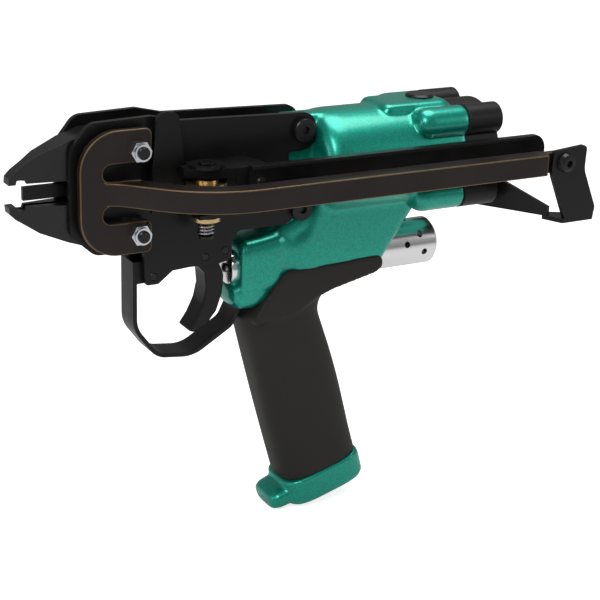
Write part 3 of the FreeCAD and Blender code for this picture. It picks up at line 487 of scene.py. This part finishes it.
def softened(node, width, materials, segments=2, clamp=True):
    """A welded copy of a CAD node: its flat faces are joined and its sharp edges bevelled."""
    source = frame["nodes"][node].data
    points = np.empty(len(source.vertices) * 3)
    source.vertices.foreach_get("co", points)
    faces = [list(polygon.vertices) for polygon in source.polygons]
    item = new_object(node + "_soft", points.reshape(-1, 3), faces)
    work = bmesh.new()
    work.from_mesh(item.data)
    bmesh.ops.dissolve_limit(work, angle_limit=math.radians(1), verts=work.verts, edges=work.edges)
    work.to_mesh(item.data)
    work.free()
    smooth_faces(item, math.radians(30))
    bevel = item.modifiers.new("Edges", "BEVEL")
    bevel.width = width
    bevel.segments = segments
    bevel.limit_method = "ANGLE"
    bevel.angle_limit = math.radians(30)
    bevel.harden_normals = True
    bevel.use_clamp_overlap = clamp
    # The second material goes on the bevel faces; on the rail it is the painted edge highlight.
    if len(materials) > 1:
        bevel.material = 1
    return finish(item, BODY_OF[node], *materials, replaces=(node,))


BODY_OF = {node: body for body, nodes in frame["record"]["behaviour"]["bodies"].items() for node in nodes}


# --- operators ------------------------------------------------------------------------------------
class RINGGUN_OT_materials(bpy.types.Operator):
    """Make the finishes and paint the CAD nodes that stay"""

    bl_idname = "ring_gun.materials"
    bl_label = "Finishes"

    def execute(self, context):
        colours = context.scene.ring_gun_colours
        make_mottle()
        make_flakes()
        make_brushed()
        make_enamel("teal_paint", tuple(colours.paint))
        dim = {"Specular IOR Level": 0.3}
        make_mottled("black_paint", tinted(colours.black, 1.2), 0.0, 0.42, bump=0.2, **dim)
        make_mottled("dark_steel", tuple(colours.black), 0.0, 0.36, spread=0.14, **dim)
        make_mottled("jaw_steel", tinted(colours.black, 1.3), 0.0, 0.30, spread=0.18, scale=90)
        make_mottled("tempered_steel", tuple(colours.brown), 0.4, 0.36, spread=0.16, scale=45, **dim)
        # Painted edge highlight: a lighter metal for the bevel faces of the rail.
        make_mottled("temper_tint", tuple(colours.edge_highlight_paint), 0.6, 0.42, vary=0.35, scale=120)
        make_mottled("black_screw", tinted(colours.black, 2.0), 0.3, 0.30)
        make_mottled("rubber", tuple(colours.rubber), 0.0, 0.55, spread=0.08, vary=0.12, grain=1500,
                     bump=0.35, **dim)
        make_mottled("gasket", tinted(colours.black, 2.0), 0.0, 0.8)
        make_machined("zinc", (0.74, 0.76, 0.80), 0.24)
        make_machined("silver", (0.86, 0.86, 0.87), 0.20, spread=0.14)
        make_machined("hard_steel", (0.36, 0.35, 0.34), 0.3)
        make_machined("spring_steel", (0.42, 0.42, 0.44), 0.28)
        make_machined("brass", (0.70, 0.52, 0.26), 0.3)
        slots = {entry["node"]: entry["material_slot"] for entry in frame["record"]["subparts"]}
        for node, item in frame["nodes"].items():
            material = bpy.data.materials[FINISH_PREFIX + slots[node]]
            item.data.materials.clear()
            item.data.materials.append(material)
        return {"FINISHED"}


class RINGGUN_OT_casting(bpy.types.Operator):
    """Cast body, blended into one skin from barrel, bosses, belly, valve block and saddle; valve's nose"""

    bl_idname = "ring_gun.casting"
    bl_label = "Casting"

    def execute(self, context):
        sizes = context.scene.ring_gun_sizes
        barrel = turned_rows([(98.7, 4), (98.7, 18.5), (99.8, 22.4), (102.4, 25.4), (106, 26.8),
                              (111, 27.2), (180, 27.2), (180, 4)])
        bosses = [
            turned_rows([(151, 1), (152, 5.5), (154.5, 7.4), (158, 8.1), (180.2, 8.1), (180.2, 1)],
                        (side * 19.0, level * 19.0))
            for side in (1, -1) for level in (1, -1)
        ]
        ridge = rounded_bar((136, 178), (-13.5, 13.5), (12, 28.9), 5)
        valve = loops([(57.6, 0, -48.5, 11.4, 11.8, 3.4), (58.4, 0, -48.5, 13.2, 13.8, 4),
                       (60.2, 0, -48.4, 14.2, 15, 5), (70, 0, -47.8, 14.4, 15.6, 5),
                       (78, 0, -47.2, 14.4, 16.4, 5), (82, 0, -47.6, 13.6, 16.2, 5),
                       (92, 0, -48, 13.6, 16, 5)])
        belly = loops([(86.5, 0, -48.6, 13, 13, 5), (88, 0, -48.4, 15.0, 15.4, 6),
                       (94, 0, -46, 15.8, 17, 6), (99, 0, -37, 16.0, 22, 6),
                       (104, 0, -31, 16.0, 27, 6), (134, 0, -31, 16.0, 27, 6),
                       (138.5, 0, -30, 15.9, 25, 6), (142, 0, -28.5, 15.7, 21, 6),
                       (148, 0, -26, 15.4, 15, 5), (153, 0, -23, 15, 11.5, 4),
                       (160, 0, -20, 13, 7.4, 3)])
        chin = loops([(54.4, 0, -62.5, 6, 3, 3), (55.2, 0, -63, 9.6, 5.6, 3), (58, 0, -63.4, 12.6, 7.2, 3.4),
                      (66, 0, -63.4, 13.4, 7.4, 3.4), (74, 0, -61, 13, 7, 3.4)])
        saddle = loops([(72, 0, -38, 9, 6, 3), (80, 0, -36, 12, 9, 3), (92, 0, -31, 14, 12, 3),
                        (106, 0, -27, 15, 14, 3)])
        neck = rounded_bar((84, 106), (-7.6, 7.6), (-33, 26.4), 2)
        shells = [shell(bore_space(rows)) for rows in
                  [barrel, ridge, valve, belly, chin, saddle, neck, *bosses]]
        body = cast_form("casting", shells, sizes.casting_grain, sizes.casting_softness)
        cylinder = turned_rows([(80, 0.01), (80, 8.52), (103, 8.52), (103, 22.03), (184, 22.03),
                                (184, 0.01)], columns=96)
        carve(body, new_object("cylinder_cut", *shell(bore_space(cylinder))))
        nose = turned_rows([(54.7, 2.6), (54.7, 7.9), (55.1, 8.5), (55.8, 8.8), (60, 8.8), (60, 2.6)],
                           (0, -50))
        bushing = new_object("bushing_nose", *shell(bore_space(nose)))
        smooth_faces(bushing)
        finish(bushing, "frame", "silver", replaces=("valve_bushing",))
        smooth_faces(body)
        finish(body, "frame", "teal_paint", replaces=("body_casting",))
        return {"FINISHED"}


class RINGGUN_OT_grip(bpy.types.Operator):
    """Rubber grip with its rear tang, and the painted foot with its toe"""

    bl_idname = "ring_gun.grip"
    bl_label = "Grip and foot"

    def execute(self, context):
        sizes = context.scene.ring_gun_sizes
        swell = sizes.grip_swell / MM
        hollow, fillet_start, straight_rows = 14.0, 100.8, 26
        sweep = np.linspace(0, np.pi / 2, 12)[1:]
        height = np.concatenate((np.linspace(15.8, fillet_start, straight_rows),
                                 fillet_start + hollow * np.sin(sweep),
                                 [fillet_start + hollow + 2.5]))
        spread = np.concatenate((np.zeros(straight_rows), hollow * (1 - np.cos(sweep)), [hollow]))
        bow = np.sin((height - GRIP_START) / GRIP_SPAN * np.pi)
        front = -20.5 - 0.6 * bow
        back = 25.6 - 4.3 * (height - GRIP_START) / 105 + swell * bow ** 2 + spread
        stations = np.stack((height, (front + back) / 2, 0 * height, (back - front) / 2,
                             0 * height + 15.8, 0 * height + 2.9), axis=-1)
        handle = loops(stations)[..., [1, 2, 0]]
        tang = slab([(64.5, -73.5), (68.5, -67.5), (80.5, -52.4), (84, -51.2), (109, -50.4), (134, -49),
                     (137.6, -50.2), (139, -53), (138.4, -56), (135, -58.6), (109, -64.4), (99, -68),
                     (88, -74), (64.5, -78)], 16.7)
        shells = [shell(grip_space(handle)), shell(bore_space(tang))]
        sleeve = cast_form("grip_rubber", shells, sizes.casting_grain, sizes.casting_softness)
        smooth_faces(sleeve)
        finish(sleeve, "frame", "rubber", replaces=("grip_sleeve",))
        level = [(0.0, 0.85), (0.8, 0.94), (3, 1.0), (13, 1.0), (15.2, 0.985), (15.9, 0.95)]
        heel = loops([(z, 2.3, 0, 23.9 * scale, 16.3 * scale, 4) for z, scale in level])[..., [1, 2, 0]]
        toe = loops([(-31.0, 0, 6.6, 8.0, 3.4, 3), (-30.2, 0, 6.8, 10.4, 4.6, 3), (-27, 0, 7, 12, 5.6, 3),
                     (-12, 0, 7.2, 13, 6.4, 3)])
        foot = cast_form("grip_heel", [shell(grip_space(heel)), shell(grip_space(toe))],
                         0.8 * sizes.casting_grain, 4)
        inlet = turned_rows([(-3, 0.01), (-3, 8.97), (18, 8.97), (18, 0.01)])[..., [1, 2, 0]]
        carve(foot, new_object("inlet_cut", *shell(grip_space(inlet))))
        smooth_faces(foot)
        finish(foot, "frame", "teal_paint", replaces=("grip_foot",))
        return {"FINISHED"}


class RINGGUN_OT_plates(bpy.types.Operator):
    """Bevelled copies of the plates, jaws, rail and other hard parts"""

    bl_idname = "ring_gun.plates"
    bl_label = "Plates and rail"

    def execute(self, context):
        edge = context.scene.ring_gun_sizes.edge_break
        # The rail's bevelled edges get the painted edge highlight as their second material.
        softened("ring_rail", 1.1 * edge, ("tempered_steel", "temper_tint"), segments=3, clamp=False)
        for node in ("side_plate_left", "side_plate_right", "spool_bracket", "spool_cover", "feed_guide",
                     "channel_guard", "feed_pusher", "ring_stop"):
            softened(node, 0.8 * edge, ("dark_steel",))
        for node in ("rear_bracket", "trigger_guard"):
            softened(node, edge, ("dark_steel",))
        for node in ("upper_jaw", "lower_jaw"):
            softened(node, 1.4 * edge, ("jaw_steel",), segments=3)
        softened("trigger", 3.4 * edge, ("dark_steel",), segments=4)
        softened("rear_cap", 2.0 * edge, ("black_paint",), segments=3)
        return {"FINISHED"}


def make_floor(glow):
    """A pale floor; for the camera alone it also gives light, so that it stays white far from the lamps."""
    material = principled("floor_white", (0.8, 0.8, 0.8), 0.0, 0.9, **{"Emission Color": (1, 1, 1, 1)})
    tree = material.node_tree
    path = tree.nodes.new("ShaderNodeLightPath")
    strength = tree.nodes.new("ShaderNodeMapRange")
    strength.inputs["To Max"].default_value = glow
    tree.links.new(path.outputs["Is Camera Ray"], strength.inputs["Value"])
    tree.links.new(strength.outputs["Result"], tree.nodes["Principled BSDF"].inputs["Emission Strength"])
    return material


def make_studio(surround):
    """A white backdrop for the camera, and a dimmer surround for everything the light reaches."""
    world = bpy.data.worlds.new("studio")
    world.use_nodes = True
    tree = world.node_tree
    path = tree.nodes.new("ShaderNodeLightPath")
    strength = tree.nodes.new("ShaderNodeMapRange")
    strength.inputs["To Min"].default_value = surround
    strength.inputs["To Max"].default_value = 1.0
    tree.links.new(path.outputs["Is Camera Ray"], strength.inputs["Value"])
    background = tree.nodes["Background"]
    background.inputs["Color"].default_value = (1, 1, 1, 1)
    tree.links.new(strength.outputs["Result"], background.inputs["Strength"])
    return world


class RINGGUN_OT_stage(bpy.types.Operator):
    """Pale floor, soft lights and the camera"""

    bl_idname = "ring_gun.stage"
    bl_label = "Stage"

    def execute(self, context):
        scene = context.scene
        view = scene.ring_gun_stage
        ground = CAD_BOX[0][2] - FLOOR_GAP
        reach = 6.0
        floor = new_object(
            "floor", [(-reach, -reach, ground), (reach, -reach, ground), (reach, reach, ground),
                      (-reach, reach, ground)], [[0, 1, 2, 3]])
        floor.data.materials.append(make_floor(view.floor_glow))
        azimuth, elevation, roll = view.azimuth, view.elevation, view.roll
        right = Vector((math.cos(azimuth), -math.sin(azimuth), 0))
        ahead = Vector((math.sin(azimuth) * math.cos(elevation), math.cos(azimuth) * math.cos(elevation),
                        -math.sin(elevation)))
        up = right.cross(ahead)
        rolled_right = right * math.cos(roll) + up * math.sin(roll)
        rolled_up = up * math.cos(roll) - right * math.sin(roll)
        target = Vector(view.target)
        data = bpy.data.cameras.new("camera")
        data.lens = view.lens
        data.clip_end = 50
        camera = bpy.data.objects.new("camera", data)
        scene.collection.objects.link(camera)
        turn = Matrix((rolled_right, rolled_up, -ahead)).transposed().to_4x4()
        camera.matrix_world = Matrix.Translation(target - ahead * view.distance) @ turn
        scene.camera = camera
        lamps = (("key", (-0.75, -0.8, 1.1), 0.7, 7.5), ("top", (0.25, 0.1, 1.25), 0.9, 8.5),
                 ("side", (1.0, -0.75, 0.55), 0.5, 1.6), ("front", (-1.1, -0.1, 0.4), 0.5, 1.2))
        for name, place, size, power in lamps:
            light = bpy.data.lights.new(name, "AREA")
            light.shape = "DISK"
            light.size = size
            light.energy = power
            lamp = bpy.data.objects.new(name, light)
            scene.collection.objects.link(lamp)
            toward = (Vector((0, 0, 0.12)) - Vector(place)).to_track_quat("-Z", "Y")
            lamp.matrix_world = Matrix.Translation(place) @ toward.to_matrix().to_4x4()
        scene.world = make_studio(view.surround)
        scene.view_settings.view_transform = "Standard"
        return {"FINISHED"}


OPERATORS = (
    RINGGUN_OT_materials,
    RINGGUN_OT_casting,
    RINGGUN_OT_grip,
    RINGGUN_OT_plates,
    RINGGUN_OT_stage,
)


class RINGGUN_PT_panel(bpy.types.Panel):
    """Lists the pieces"""

    bl_idname = "RINGGUN_PT_panel"
    bl_label = "Ring gun"
    bl_space_type = "VIEW_3D"
    bl_region_type = "UI"
    bl_category = "Ring gun"

    def draw(self, context):
        for operator in OPERATORS:
            self.layout.operator(operator.bl_idname)
        for name in SETTINGS:
            group = getattr(context.scene, name)
            for prop in group.bl_rna.properties:
                if prop.identifier not in ("rna_type", "name"):
                    self.layout.prop(group, prop.identifier)


def register():
    for group in (*SETTINGS.values(), *OPERATORS, RINGGUN_PT_panel):
        bpy.utils.register_class(group)
    for name, group in SETTINGS.items():
        setattr(bpy.types.Scene, name, bpy.props.PointerProperty(type=group))


def unregister():
    for name in SETTINGS:
        delattr(bpy.types.Scene, name)
    for group in (RINGGUN_PT_panel, *reversed(OPERATORS), *SETTINGS.values()):
        bpy.utils.unregister_class(group)


def main():
    register()
    for operator in OPERATORS:
        namespace, verb = operator.bl_idname.split(".")
        getattr(getattr(bpy.ops, namespace), verb)()


if __name__ == "__main__":
    main()
